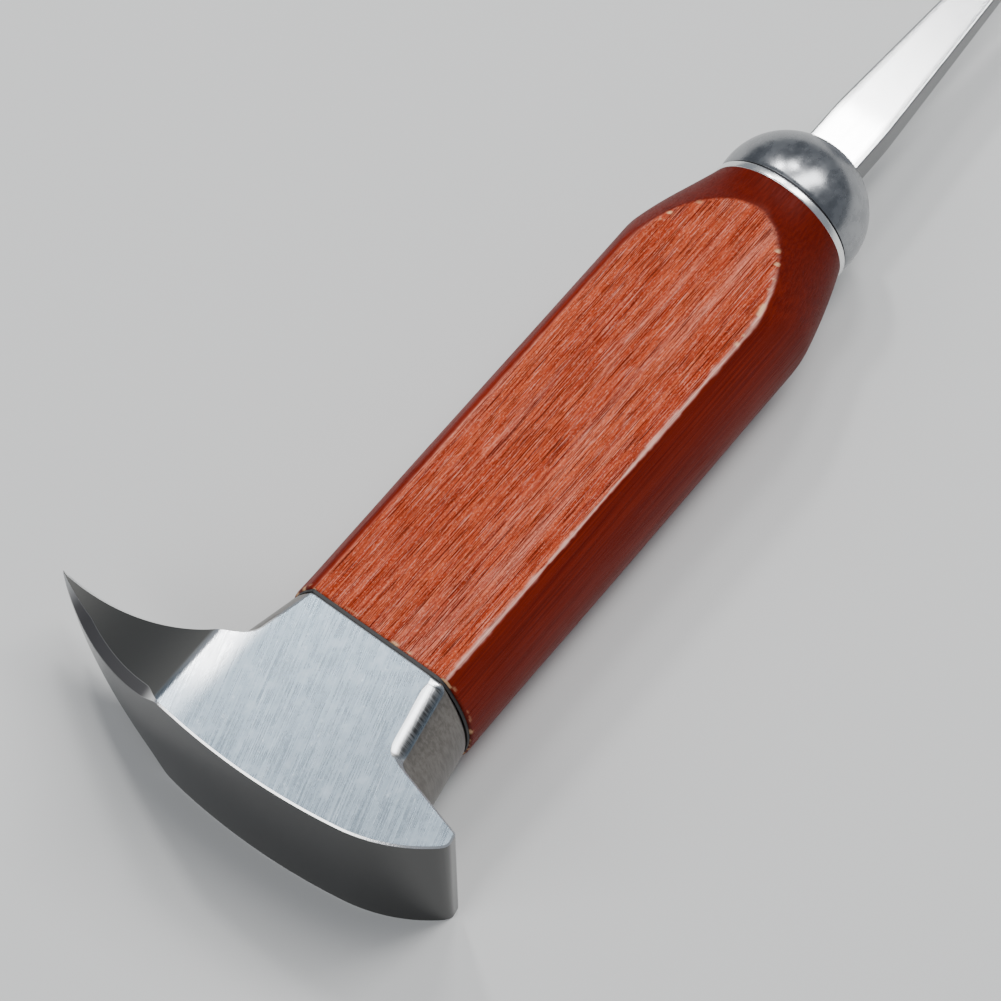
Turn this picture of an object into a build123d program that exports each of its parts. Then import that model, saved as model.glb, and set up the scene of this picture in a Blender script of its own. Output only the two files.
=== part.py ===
from build123d import *
import os
from math import cos, radians, sin

# Hive tool: a forged steel head with a long claw and a short scraper wing, a wooden grip with
# two flats and two bowed sides, a domed ferrule and a tapered pick whose round tang runs
# through the grip and screws into the head.
#
# Millimetres. +X runs from the head to the tip of the pick, +Y to the claw, +Z up.
# The origin is on the flat that the tool rests on, below the middle of the grip.

# Grip
grip_length = 88.5
flat_to_flat = 24.0
flat_width = 22.6
side_to_side = 30.6         # over the bowed sides
turned_radius = 16.5        # just clears the ridges between flats and sides
shoulder_start = 64.6       # where the turned shoulder begins, from the head end of the grip
shoulder_radius = 38.0
shoulder_slope = 22.0       # degrees
shoulder_end = 82.5         # where the slope eases into the ferrule
ferrule_seat_radius = 11.35
spigot_radius = 9.4
spigot_length = 6.0
bore_radius = 5.0

# Joint between grip and head
spacer_thickness = 0.45

# Ferrule
rim_radius = 11.4
rim_width = 1.1
groove_width = 0.35
groove_depth = 0.4
dome_radius = 11.2          # where the dome starts, beside the groove
dome_bulge = (9.6, 9.5)     # a point on the dome, from the rim and from the axis
dome_nose_radius = 5.5      # where the dome ends, round the pick
ferrule_length = 13.0

# Pick and its tang
pick_width = 8.8
pick_thickness = 5.2
pick_straight = 19.5        # parallel stretch, from the end of the grip
pick_tip_width = 3.5
pick_tip_thickness = 2.4
pick_length = 76.5          # from the end of the grip to the edge at the tip
tip_bevel_length = 3.5
tip_edge_thickness = 0.7
tang_radius = 4.0
thread_depth = 14.0
thread_runout = 0.8         # clear depth left below the end of the tang

# Head, measured from the head end of the grip
neck_rear_flat = 21.6       # width of the flats and width over the sides, at each end
neck_rear_width = 30.0
neck_front_flat = 26.4
neck_front_width = 34.8
neck_front = -12.0
neck_shift = 0.3            # the front of the neck lies a little towards the claw
neck_ridge_radius = 2.5     # the two ridges on the scraper's side
neck_claw_ridge_radius = 0.4
claw_tip = (-14.4, 43.6)
claw_outer_middle = (-21.1, 32.2)
front_left = (-25.3, 17.2)
front_middle = (-26.3, 4.0)
front_right = (-24.9, -13.0)
scraper_front = (-18.2, -26.1)
scraper_back = (-16.1, -25.7)
notch = (-12.3, -11.8)
claw_root = (-9.3, 12.6)
claw_root_end = (-12.6, 19.4)
claw_inner_middle = (-14.9, 33.5)
claw_crease = 17.2          # across the tool, where the claw starts to thin
hollow_radius = 46.0
hollow_angle = 40.0         # degrees, how steeply the hollow starts at the crease

axis_height = flat_to_flat / 2
head_end = -grip_length / 2
ferrule_end = grip_length / 2
neck_rear = -spacer_thickness

# Planes: one flat on the table at the head end of the grip, the others through the tool's axis
head_plan = Plane(origin=(head_end, 0, 0))
grip_side = Plane(origin=(head_end, 0, axis_height), x_dir=(1, 0, 0), z_dir=(0, -1, 0))
ferrule_side = Plane(origin=(ferrule_end, 0, axis_height), x_dir=(1, 0, 0), z_dir=(0, -1, 0))


def across(x, shift=0):
    """The plane square to the tool's axis at x, with its own x along +Y and its y along +Z."""
    return Plane(origin=(x, shift, axis_height), x_dir=(0, 1, 0), z_dir=(1, 0, 0))


def flatted_section(flat, width, ridge_radius=0, claw_ridge_radius=0):
    """A section with flats above and below and bowed sides, its ridges sharp or rounded."""
    with BuildSketch() as section:
        with BuildLine():
            Line((-flat / 2, axis_height), (flat / 2, axis_height))
            ThreePointArc((flat / 2, axis_height), (width / 2, 0), (flat / 2, -axis_height))
            Line((flat / 2, -axis_height), (-flat / 2, -axis_height))
            ThreePointArc((-flat / 2, -axis_height), (-width / 2, 0), (-flat / 2, axis_height))
        make_face()
        if ridge_radius:
            scraper_side = section.vertices().filter_by_position(Axis.X, -flat, 0)
            fillet(scraper_side, radius=ridge_radius)
            claw_side = section.vertices().filter_by_position(Axis.X, 0, flat)
            fillet(claw_side, radius=claw_ridge_radius)
    return section.sketch


neck_rear_section = flatted_section(
    neck_rear_flat, neck_rear_width, neck_ridge_radius, neck_claw_ridge_radius
)
neck_front_section = flatted_section(
    neck_front_flat, neck_front_width, neck_ridge_radius, neck_claw_ridge_radius
)

# Head: the crescent in plan, thinned to the claw, joined to a flaring neck
with BuildPart() as head:
    with BuildSketch(head_plan):
        with BuildLine():
            ThreePointArc(claw_tip, claw_outer_middle, front_left)
            front = ThreePointArc(front_left, front_middle, front_right)
            TangentArc(front_right, scraper_front, tangent=front % 1)
            Polyline(scraper_front, scraper_back, notch, claw_root)
            claw_inner = ThreePointArc(claw_root_end, claw_inner_middle, claw_tip)
            TangentArc(claw_root_end, claw_root, tangent=-(claw_inner % 0))
        make_face()
    extrude(amount=flat_to_flat)

    # Hollow grinds above and below the claw, two cylinders lying along X
    hollow_y = claw_crease + hollow_radius * sin(radians(hollow_angle))
    hollow_z = axis_height + hollow_radius * cos(radians(hollow_angle))
    with BuildSketch(across(head_end - 40)):
        with Locations((hollow_y, hollow_z), (hollow_y, -hollow_z)):
            Circle(hollow_radius)
    extrude(amount=40, mode=Mode.SUBTRACT)

    # Neck: flares from the grip into the crescent, its ridges rounded
    with BuildSketch(across(head_end + neck_rear)):
        add(neck_rear_section)
    with BuildSketch(across(head_end + neck_front, neck_shift)):
        add(neck_front_section)
    loft()

    # Blind threaded hole for the tang, drawn at its full diameter
    with BuildSketch(across(head_end + neck_rear)):
        Circle(tang_radius)
    extrude(amount=-(thread_depth + thread_runout), mode=Mode.SUBTRACT)

# Spacer: the thin black washer between neck and grip
with BuildPart() as neck_spacer:
    with BuildSketch(across(head_end)):
        add(neck_rear_section)
        Circle(tang_radius, mode=Mode.SUBTRACT)
    extrude(amount=-spacer_thickness)

# Grip: a flatted bar with its ferrule end turned down, bored through for the tang
slope = radians(shoulder_slope)
slope_start = (
    shoulder_start + shoulder_radius * sin(slope),
    turned_radius - shoulder_radius * (1 - cos(slope)),
)
slope_end = (
    shoulder_end,
    slope_start[1] - (shoulder_end - slope_start[0]) * sin(slope) / cos(slope),
)
with BuildPart() as handle:
    with BuildSketch(across(head_end)):
        add(flatted_section(flat_width, side_to_side))
    extrude(amount=grip_length + spigot_length)
    with BuildSketch(grip_side):
        with BuildLine():
            Polyline((0, 0), (0, turned_radius), (shoulder_start, turned_radius))
            TangentArc((shoulder_start, turned_radius), slope_start, tangent=(1, 0))
            sloped = Line(slope_start, slope_end)
            TangentArc(slope_end, (grip_length, ferrule_seat_radius), tangent=sloped % 1)
            Polyline(
                (grip_length, ferrule_seat_radius),
                (grip_length, spigot_radius),
                (grip_length + spigot_length, spigot_radius),
                (grip_length + spigot_length, 0),
                (0, 0),
            )
        make_face()
    revolve(axis=Axis(grip_side.origin, grip_side.x_dir), mode=Mode.INTERSECT)
    with BuildSketch(across(head_end)):
        Circle(bore_radius)
    extrude(amount=grip_length + spigot_length, mode=Mode.SUBTRACT)

# Resin: fills the bore round the tang
with BuildPart() as tang_resin:
    with BuildSketch(across(head_end)):
        Circle(bore_radius)
        Circle(tang_radius, mode=Mode.SUBTRACT)
    extrude(amount=grip_length + spigot_length)

# Ferrule: rim, groove and dome, bored for the spigot and slotted for the pick
groove_end = rim_width + groove_width
with BuildPart() as ferrule:
    with BuildSketch(ferrule_side):
        with BuildLine():
            Polyline(
                (0, 0),
                (0, rim_radius),
                (rim_width, rim_radius),
                (rim_width, rim_radius - groove_depth),
                (groove_end, rim_radius - groove_depth),
                (groove_end, dome_radius),
            )
            ThreePointArc((groove_end, dome_radius), dome_bulge, (ferrule_length, dome_nose_radius))
            Polyline((ferrule_length, dome_nose_radius), (ferrule_length, 0), (0, 0))
        make_face()
    revolve(axis=Axis(ferrule_side.origin, ferrule_side.x_dir))
    with BuildSketch(across(ferrule_end)):
        Circle(spigot_radius)
    extrude(amount=spigot_length, mode=Mode.SUBTRACT)
    with BuildSketch(across(ferrule_end)):
        Rectangle(pick_width, pick_thickness)
    extrude(amount=ferrule_length, mode=Mode.SUBTRACT)

# Pick: parallel where it leaves the ferrule, then tapered on all four sides to a small edge
with BuildPart() as pick:
    with BuildSketch(across(ferrule_end + spigot_length)):
        Rectangle(pick_width, pick_thickness)
    extrude(amount=pick_straight - spigot_length)
    with BuildSketch(across(ferrule_end + pick_straight)):
        Rectangle(pick_width, pick_thickness)
    with BuildSketch(across(ferrule_end + pick_length - tip_bevel_length)):
        Rectangle(pick_tip_width, pick_tip_thickness)
    loft(ruled=True)
    with BuildSketch(across(ferrule_end + pick_length - tip_bevel_length)):
        Rectangle(pick_tip_width, pick_tip_thickness)
    with BuildSketch(across(ferrule_end + pick_length)):
        Rectangle(pick_tip_width, tip_edge_thickness)
    loft(ruled=True)
    with BuildSketch(across(ferrule_end + spigot_length)):
        Circle(tang_radius)
    extrude(amount=-(spigot_length + grip_length + spacer_thickness + thread_depth))

os.makedirs("parts", exist_ok=True)
head.part.label = "head"
export_step(head.part, "parts/head.step")
neck_spacer.part.label = "neck_spacer"
export_step(neck_spacer.part, "parts/neck_spacer.step")
handle.part.label = "handle"
export_step(handle.part, "parts/handle.step")
tang_resin.part.label = "tang_resin"
export_step(tang_resin.part, "parts/tang_resin.step")
ferrule.part.label = "ferrule"
export_step(ferrule.part, "parts/ferrule.step")
pick.part.label = "pick"
export_step(pick.part, "parts/pick.step")
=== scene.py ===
import math

import bpy
import numpy as np
from mathutils import Matrix, Vector


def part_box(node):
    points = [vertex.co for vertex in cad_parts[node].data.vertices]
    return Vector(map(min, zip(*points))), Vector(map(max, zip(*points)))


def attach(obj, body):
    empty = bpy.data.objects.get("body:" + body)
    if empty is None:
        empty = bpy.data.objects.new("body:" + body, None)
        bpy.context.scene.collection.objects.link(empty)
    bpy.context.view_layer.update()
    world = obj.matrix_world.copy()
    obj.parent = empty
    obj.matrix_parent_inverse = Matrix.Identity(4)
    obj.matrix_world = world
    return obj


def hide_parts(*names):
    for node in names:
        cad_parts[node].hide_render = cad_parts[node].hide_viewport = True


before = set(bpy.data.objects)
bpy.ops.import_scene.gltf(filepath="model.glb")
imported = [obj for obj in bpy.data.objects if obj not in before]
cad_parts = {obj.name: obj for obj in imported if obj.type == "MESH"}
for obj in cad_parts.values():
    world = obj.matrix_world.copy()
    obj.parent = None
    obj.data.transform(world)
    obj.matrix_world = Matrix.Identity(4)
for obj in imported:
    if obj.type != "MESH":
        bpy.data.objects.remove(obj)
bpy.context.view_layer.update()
mm = 0.001


def gap(low, high):
    # from one frame coordinate to another in millimetres, to the hundredth
    return round((high - low) / mm, 2)


# pieces are worked out in millimetres, x from the head end of the wood, y and z from the tool's axis
gripLow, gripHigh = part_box("handle")
ferruleLow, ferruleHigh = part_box("ferrule")
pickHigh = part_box("pick")[1]
jointX = gripLow.x
axisZ = (gripLow.z + gripHigh.z) / 2
halfFlat = gap(gripLow.z, gripHigh.z) / 2       # from the axis to the flats
gripLength = gap(jointX, ferruleLow.x)
ferruleLength = gap(ferruleLow.x, ferruleHigh.x)
pickLength = gap(ferruleLow.x, pickHigh.x)      # from the end of the wood


# shared tools

def smoothStep(low, high, value):
    # 0 below low, 1 above high, an S curve between
    t = np.clip((value - low) / (high - low), 0, 1)
    return t * t * (3 - 2 * t)


def softMin(a, b, k):
    # the smaller of two, rounded over a width of about k where they cross
    d = np.clip(0.5 + 0.5 * (b - a) / k, 0, 1)
    return b * (1 - d) + a * d - k * d * (1 - d)


def latticeNoise(u, v, seed, wrap):
    # smooth noise from -1 to 1: random values on a grid, blended in each cell by S curves,
    # repeating in v every wrap cells
    table = np.random.RandomState(seed).uniform(-1, 1, (256, wrap))
    iu, iv = np.floor(u).astype(int), np.floor(v).astype(int)
    fu, fv = u - iu, v - iv
    fu, fv = fu * fu * (3 - 2 * fu), fv * fv * (3 - 2 * fv)
    iu, ju, iv, jv = iu % 256, (iu + 1) % 256, iv % wrap, (iv + 1) % wrap
    low = table[iu, iv] * (1 - fv) + table[iu, jv] * fv
    high = table[ju, iv] * (1 - fv) + table[ju, jv] * fv
    return low * (1 - fu) + high * fu


def circleThrough(a, b, c):
    # centre and radius of the circle through three points: the centre is as far from each
    a, b, c = (np.array(p, float) for p in (a, b, c))
    sides = 2 * np.array([b - a, c - a])
    centre = np.linalg.solve(sides, np.array([b @ b - a @ a, c @ c - a @ a]))
    return centre, np.linalg.norm(a - centre)


def circleTangent(start, direction, end):
    # centre and radius of the circle that leaves start along direction and reaches end
    start, direction, end = (np.array(p, float) for p in (start, direction, end))
    normal = np.array([-direction[1], direction[0]]) / np.linalg.norm(direction)
    chord = end - start
    radius = chord @ chord / (2 * chord @ normal)
    return start + normal * radius, abs(radius)


def sideArc(flat, side):
    # the arc through (flat, halfFlat) and (side, 0): how far its centre lies past the axis,
    # and its radius
    radius = ((side - flat) ** 2 + halfFlat ** 2) / (2 * (side - flat))
    return radius - side, radius


def turnedRows(profile, theta):
    # a profile of (x, radius) points carried round the axis: y = radius cos, z = radius sin
    profile = np.asarray(profile, float)
    x, radius = profile[:, :1], profile[:, 1:]
    return np.stack([x + 0 * theta, radius * np.cos(theta), radius * np.sin(theta)], -1)


def gridFaces(rows, cols, closeRows=False, closeCols=False):
    # quads of a grid whose points are numbered row by row
    r = np.arange(rows if closeRows else rows - 1)
    c = np.arange(cols if closeCols else cols - 1)
    r, c = np.meshgrid(r, c, indexing="ij")
    rn, cn = (r + 1) % rows, (c + 1) % cols
    quads = np.stack([r * cols + c, r * cols + cn, rn * cols + cn, rn * cols + c], -1)
    return quads.reshape(-1, 4)


def makePiece(name, points, faces, attributes, crisp=None):
    # faces is a list of arrays with three or four corners a face; crisp is the angle in degrees
    # above which an edge is shaded sharp
    mesh = bpy.data.meshes.new(name)
    world = points * mm + np.array([jointX, 0, axisZ])
    mesh.from_pydata(world.tolist(), [], [face for part in faces for face in part.tolist()])
    for key, values in attributes.items():
        layer = mesh.attributes.new(key, "FLOAT", "POINT")
        layer.data.foreach_set("value", np.ascontiguousarray(values, dtype=np.float32))
    mesh.validate()
    mesh.shade_smooth()
    if crisp:
        mesh.set_sharp_from_angle(angle=math.radians(crisp))
    piece = bpy.data.objects.new(name, mesh)
    bpy.context.scene.collection.objects.link(piece)
    return piece


def dress(piece, material, node):
    piece.data.materials.append(material)
    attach(piece, "root")
    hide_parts(node)


# material tools: a colour or a value is a plain one or another node's socket

def newMaterial(name, metallic, roughness=0.5):
    material = bpy.data.materials.new(name)
    material.use_nodes = True
    tree = material.node_tree
    shader = tree.nodes["Principled BSDF"]
    shader.inputs["Metallic"].default_value = metallic
    shader.inputs["Roughness"].default_value = roughness
    return material, tree, shader


def link(tree, source, target):
    if isinstance(source, (int, float)):
        target.default_value = source
    elif isinstance(source, tuple):
        target.default_value = source + (1,)
    else:
        tree.links.new(source, target)


def attribute(tree, name):
    node = tree.nodes.new("ShaderNodeAttribute")
    node.attribute_name = name
    return node.outputs["Fac"]


def maths(tree, operation, a, b):
    node = tree.nodes.new("ShaderNodeMath")
    node.operation = operation
    link(tree, a, node.inputs[0])
    link(tree, b, node.inputs[1])
    return node.outputs[0]


def ramp(tree, source, low, high, outLow=0.0, outHigh=1.0):
    # source between low and high becomes outLow to outHigh, along an S curve
    node = tree.nodes.new("ShaderNodeMapRange")
    node.interpolation_type = "SMOOTHSTEP"
    link(tree, source, node.inputs["Value"])
    limits = {"From Min": low, "From Max": high, "To Min": outLow, "To Max": outHigh}
    for key, value in limits.items():
        node.inputs[key].default_value = value
    return node.outputs["Result"]


def mixColour(tree, factor, a, b):
    # a where factor is 0, b where it is 1
    node = tree.nodes.new("ShaderNodeMix")
    node.data_type = "RGBA"
    link(tree, factor, node.inputs[0])
    link(tree, a, node.inputs[6])
    link(tree, b, node.inputs[7])
    return node.outputs[2]


def mixValue(tree, factor, a, b):
    # a where factor is 0, b where it is 1
    kept = maths(tree, "MULTIPLY", a, maths(tree, "SUBTRACT", 1.0, factor))
    return maths(tree, "ADD", kept, maths(tree, "MULTIPLY", factor, b))


def noise(tree, size, detail=2.0, rough=0.5, seed=0.0, turn=0.0):
    # size is the length in millimetres of one feature along x, y and z, turned about z by
    # turn degrees
    coordinates = tree.nodes.new("ShaderNodeTexCoord")
    mapping = tree.nodes.new("ShaderNodeMapping")
    mapping.vector_type = "TEXTURE"
    mapping.inputs["Scale"].default_value = [s * mm for s in size]
    mapping.inputs["Rotation"].default_value = (0, 0, math.radians(turn))
    mapping.inputs["Location"].default_value = [seed * k * mm for k in (31, 17, 23)]
    texture = tree.nodes.new("ShaderNodeTexNoise")
    texture.inputs["Scale"].default_value = 1
    texture.inputs["Detail"].default_value = detail
    texture.inputs["Roughness"].default_value = rough
    tree.links.new(coordinates.outputs["Object"], mapping.inputs[0])
    tree.links.new(mapping.outputs[0], texture.inputs["Vector"])
    return texture.outputs["Fac"]


def coordinate(tree, axis):
    # the object coordinate along one axis, in metres
    coordinates = tree.nodes.new("ShaderNodeTexCoord")
    split = tree.nodes.new("ShaderNodeSeparateXYZ")
    tree.links.new(coordinates.outputs["Object"], split.inputs[0])
    return split.outputs[axis]


def bump(tree, shader, height, distance, strength):
    # height from 0 to 1 stands for distance in millimetres
    node = tree.nodes.new("ShaderNodeBump")
    node.inputs["Distance"].default_value = distance * mm
    node.inputs["Strength"].default_value = strength
    tree.links.new(height, node.inputs["Height"])
    tree.links.new(node.outputs[0], shader.inputs["Normal"])


# camera, floor and lights

cameraFacts = {
    "elevation": 61.857,           # degrees above the table
    "turn": 38.881,                # degrees from the tool's axis to the way the camera looks
    "roll": 1.001,
    "distance": 0.6084,            # metres
    "aim": (0.035397, 0.007589),   # on the table, in metres from the head end of the grip
    "lens": 157.18,
}


def makeCamera(facts):
    data = bpy.data.cameras.new("camera")
    data.lens = facts["lens"]
    data.sensor_width = 36
    data.clip_start, data.clip_end = 0.05, 20
    camera = bpy.data.objects.new("camera", data)
    bpy.context.scene.collection.objects.link(camera)
    up, turn = math.radians(facts["elevation"]), math.radians(facts["turn"])
    look = Vector((math.cos(up) * math.cos(turn), math.cos(up) * math.sin(turn), -math.sin(up)))
    aim = Vector((jointX + facts["aim"][0], facts["aim"][1], 0))
    spin = Matrix.Rotation(math.radians(facts["roll"]), 4, look)
    stand = Matrix.Translation(aim - look * facts["distance"])
    camera.matrix_world = stand @ spin @ look.to_track_quat("-Z", "Y").to_matrix().to_4x4()
    bpy.context.scene.camera = camera


stageFacts = {
    "floorHalf": 3.0,                        # metres
    "floorColour": (0.62, 0.62, 0.61), "floorRoughness": 0.8,
    "roomColour": (0.80, 0.88, 1.0), "roomStrength": 0.30,
    # each light: degrees round from +X and up, metres from the tool's middle, size in metres, watts
    "lights": {
        "pickBox": (30, 57, 1.2, (0.19, 0.17), 3.0),
        "creaseBox": (58, 54, 1.2, (0.10, 0.13), 3.6),
        "ridgeBox": (-22, 65, 1.2, (0.34, 0.9), 12.5),
        "lowBox": (162, 36, 1.3, (1.0, 0.6), 7),
    },
}


def makeFloor(facts):
    half = facts["floorHalf"]
    mesh = bpy.data.meshes.new("floor")
    corners = [(-half, -half, 0), (half, -half, 0), (half, half, 0), (-half, half, 0)]
    mesh.from_pydata(corners, [], [(0, 1, 2, 3)])
    floor = bpy.data.objects.new("floor", mesh)
    bpy.context.scene.collection.objects.link(floor)
    material, tree, shader = newMaterial("paleFloor", 0.0, facts["floorRoughness"])
    link(tree, facts["floorColour"], shader.inputs["Base Color"])
    mesh.materials.append(material)


def makeRoom(facts):
    world = bpy.data.worlds.new("studio")
    bpy.context.scene.world = world
    world.use_nodes = True
    background = world.node_tree.nodes["Background"]
    link(world.node_tree, facts["roomColour"], background.inputs["Color"])
    background.inputs["Strength"].default_value = facts["roomStrength"]


def areaLight(name, turn, elevation, distance, size, power):
    data = bpy.data.lights.new(name, "AREA")
    data.shape = "RECTANGLE"
    data.size, data.size_y = size
    data.energy = power
    light = bpy.data.objects.new(name, data)
    bpy.context.scene.collection.objects.link(light)
    up, turn = math.radians(elevation), math.radians(turn)
    away = Vector((math.cos(up) * math.cos(turn), math.cos(up) * math.sin(turn), math.sin(up)))
    facing = (-away).to_track_quat("-Z", "Y").to_matrix().to_4x4()
    light.matrix_world = Matrix.Translation(away * distance) @ facing


makeCamera(cameraFacts)
makeFloor(stageFacts)
makeRoom(stageFacts)
for lightName, lightFacts in stageFacts["lights"].items():
    areaLight(lightName, *lightFacts)
print("camera, floor and lights set")


# the grip: a flatted wooden bar, turned down at the ferrule

gripFacts = {
    "flat": 11.3, "side": 15.3,              # half widths of the flats and over the bowed sides
    "turned": 16.5, "seat": 11.35,           # radii of the turned envelope and at the ferrule
    "shoulderStart": 64.6, "shoulderEnd": 82.5, "shoulderRadius": 38.0, "slope": 22.0,
    "sidePower": 1.8,                        # more than 1 makes the shoulder full at the sides
    "spigot": 9.4, "spigotLength": 6.0, "bore": 5.0,
    "ridgeSoft": 0.35, "sandedSoft": 1.3,    # rounding of the ridges, and more on the claw's side
    "shoulderSoft": 0.25,
    "endEase": 0.20, "endEaseLength": 0.30,  # at the head end
    "uneven": 0.05,                          # height of the waves that hand sanding leaves
    "wearWidth": 0.23, "wearRagged": 0.11, "wearLeast": 0.06, "wearDepth": 0.06,
    "wearFade": (70, 77), "seatFade": (79, 82),
    "chipDepth": 0.10, "chipWidth": 0.22, "chipShift": 0.12,
    "chipLimit": 0.82,                       # the lower it is, the more chips there are
    "limitAtShoulder": -0.28, "limitAtJoint": -0.25, "limitAtSeat": 0.5,     # added to it there
    "rows": 300, "quarter": 60,              # points along, and in each quarter of the way round
    "sideColours": ((0.110, 0.0050, 0.0012), (0.19, 0.0125, 0.0030)),
    "topColours": ((0.27, 0.025, 0.0075), (0.53, 0.098, 0.038)),
    "fineColour": (0.68, 0.19, 0.105),
    "broadColours": ((0.34, 0.034, 0.007), (0.66, 0.23, 0.165)),
    "paleColour": (0.84, 0.42, 0.34),
    "gritColours": ((0.20, 0.014, 0.004), (0.80, 0.30, 0.20)),
    "shoulderColour": (0.055, 0.0030, 0.0010),
    "poreColour": (0.070, 0.0040, 0.0012),
    "wornColour": (0.82, 0.44, 0.36),
    "chipColour": (0.82, 0.50, 0.27),
    # painted shade on the wood at its joint with the head
    "jointShadeColour": (0.10, 0.012, 0.006),
    "roughness": (0.42, 0.58),               # varnished sides, sanded flats
    "specular": 0.05,
    "reliefDepth": 0.07,
}


def angles(ridge, quarter, spread=5.0, weight=5.0):
    # angles round the axis, closer together near the four ridges: their density is 1 plus a
    # bell curve at each ridge
    t = np.linspace(0, 90, 2001)
    density = 1 + weight * np.exp(-((t - ridge) / spread) ** 2)
    total = np.concatenate([[0], np.cumsum((density[1:] + density[:-1]) / 2)])
    rising = np.interp(np.linspace(0, total[-1], quarter + 1)[:-1], total, t)
    falling = np.append(rising, 90)[1:][::-1]
    return np.radians(np.concatenate([rising, 180 - falling, 180 + rising, 360 - falling]))


def turnedProfile(f, x):
    # radius of the shoulder above and below: straight, a convex arc, a cone, then an arc that
    # eases into the seat
    slope = math.radians(f["slope"])
    arcLength = f["shoulderRadius"] * math.sin(slope)
    arcEnd = f["shoulderStart"] + arcLength
    inArc = np.clip(x - f["shoulderStart"], 0, arcLength)
    radius = f["turned"] - f["shoulderRadius"] + np.sqrt(f["shoulderRadius"] ** 2 - inArc ** 2)
    onCone = radius - (np.minimum(x, f["shoulderEnd"]) - arcEnd) * math.tan(slope)
    radius = np.where(x > arcEnd, onCone, radius)
    coneStart = f["turned"] - f["shoulderRadius"] * (1 - math.cos(slope))
    coneEnd = coneStart - (f["shoulderEnd"] - arcEnd) * math.tan(slope)
    centre, easeRadius = circleTangent(
        (f["shoulderEnd"], coneEnd), (math.cos(slope), -math.sin(slope)), (gripLength, f["seat"]))
    eased = centre[1] - np.sqrt(np.maximum(easeRadius ** 2 - (x - centre[0]) ** 2, 0))
    return np.where(x > f["shoulderEnd"], eased, radius)


def sideProfile(f, x):
    # radius of the shoulder at the sides: it falls with a power of the way along
    t = np.clip((x - f["shoulderStart"]) / (gripLength - f["shoulderStart"]), 0, 1)
    return f["turned"] - (f["turned"] - f["seat"]) * t ** f["sidePower"]


def makeGrip(f):
    # the radius at each place and angle is the least of three, to the flat, to the bowed side
    # and to the turned envelope, less what sanding, wear and chips took off
    past, radius = sideArc(f["flat"], f["side"])
    theta = angles(math.degrees(math.atan2(halfFlat, f["flat"])), f["quarter"])
    sine, cosine = np.abs(np.sin(theta)), np.abs(np.cos(theta))
    x = np.concatenate([[0, 0.06, 0.16, 0.3], np.linspace(0.5, gripLength - 0.25, f["rows"]),
                        [gripLength - 0.1, gripLength]])[:, None]
    toFlat = halfFlat / np.maximum(sine, 0.2)       # kept finite at the sides, where it's not the least
    toSide = np.sqrt(radius ** 2 - (past * sine) ** 2) - past * cosine
    # the ridges on the claw's side are sanded rounder and aren't worn pale
    clawSide = smoothStep(-0.3, 0.3, np.cos(theta))
    section = softMin(toFlat, toSide, f["ridgeSoft"] + f["sandedSoft"] * clawSide)
    above, beside = turnedProfile(f, x), sideProfile(f, x)
    envelope = above + (np.maximum(beside, above) - above) * cosine ** 2
    rho = softMin(section, envelope, f["shoulderSoft"])

    # worn ridges: a bell curve across each ridge, of ragged width
    other = np.minimum(toSide, envelope)
    pastFlat = other - toFlat
    ragged = latticeNoise(x / 2.1, theta * 3, 3, 19) + 0.6 * latticeNoise(x / 0.7, theta * 6, 4, 38)
    width = np.maximum(f["wearWidth"] + f["wearRagged"] * ragged, f["wearLeast"])
    wear = np.exp(-(pastFlat / width) ** 2) * (1 - 0.9 * clawSide)
    wear *= (1 - 0.6 * smoothStep(*f["seatFade"], x)) * (1 - 0.85 * smoothStep(*f["wearFade"], x))
    # chips: bites out of the ridges where the noise is over a limit, which is lower where the
    # flat runs out at the shoulder and at the joint, and none by the ferrule
    bites = latticeNoise(x / 0.8, theta * 14, 9, 88)
    limit = f["chipLimit"] + f["limitAtShoulder"] * smoothStep(60, 70, x)
    limit += f["limitAtJoint"] * (1 - smoothStep(0.5, 2.5, x)) + f["limitAtSeat"] * smoothStep(79, 81, x)
    onRidge = np.exp(-((pastFlat - f["chipShift"]) / f["chipWidth"]) ** 2)
    chip = smoothStep(limit, limit + 0.15, bites) * onRidge
    # and small ones all along the edge at the joint
    atJoint = smoothStep(0.45, 0.6, latticeNoise(x / 0.6, theta * 20, 11, 126))
    chip = np.maximum(chip, atJoint * (1 - smoothStep(0.25, 0.6, x)))
    uneven = f["uneven"] * latticeNoise(x / 13, theta * 2, 6, 13) - 0.8 * f["uneven"]
    rho = rho + uneven * smoothStep(0, 4, x) - f["chipDepth"] * chip - f["wearDepth"] * wear
    rho = rho - f["endEase"] * (1 - np.clip(x / f["endEaseLength"], 0, 1)) ** 2
    onFlat = smoothStep(-0.12, 0.12, pastFlat + 0.05 * ragged)

    outer = np.stack([x + 0 * rho, rho * np.cos(theta),
                      np.clip(rho * np.sin(theta), -halfFlat, halfFlat)], -1)
    # the spigot and the bore, whose last turn closes the joint face
    spigotEnd = gripLength + f["spigotLength"]
    inner = turnedRows([
        (gripLength, f["spigot"] + 0.02), (gripLength, f["spigot"]), (spigotEnd, f["spigot"]),
        (spigotEnd, f["bore"]), (0, f["bore"]),
    ], theta)
    points = np.concatenate([outer, inner])
    rows, cols = points.shape[:2]
    hidden = np.zeros((len(inner), cols))
    attributes = {key: np.concatenate([mask, hidden]).ravel()
                  for key, mask in (("wear", wear), ("chip", chip), ("flatTop", onFlat))}
    attributes["along"] = points[..., 0].ravel()
    return points.reshape(-1, 3), [gridFaces(rows, cols, closeRows=True, closeCols=True)], attributes


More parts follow.
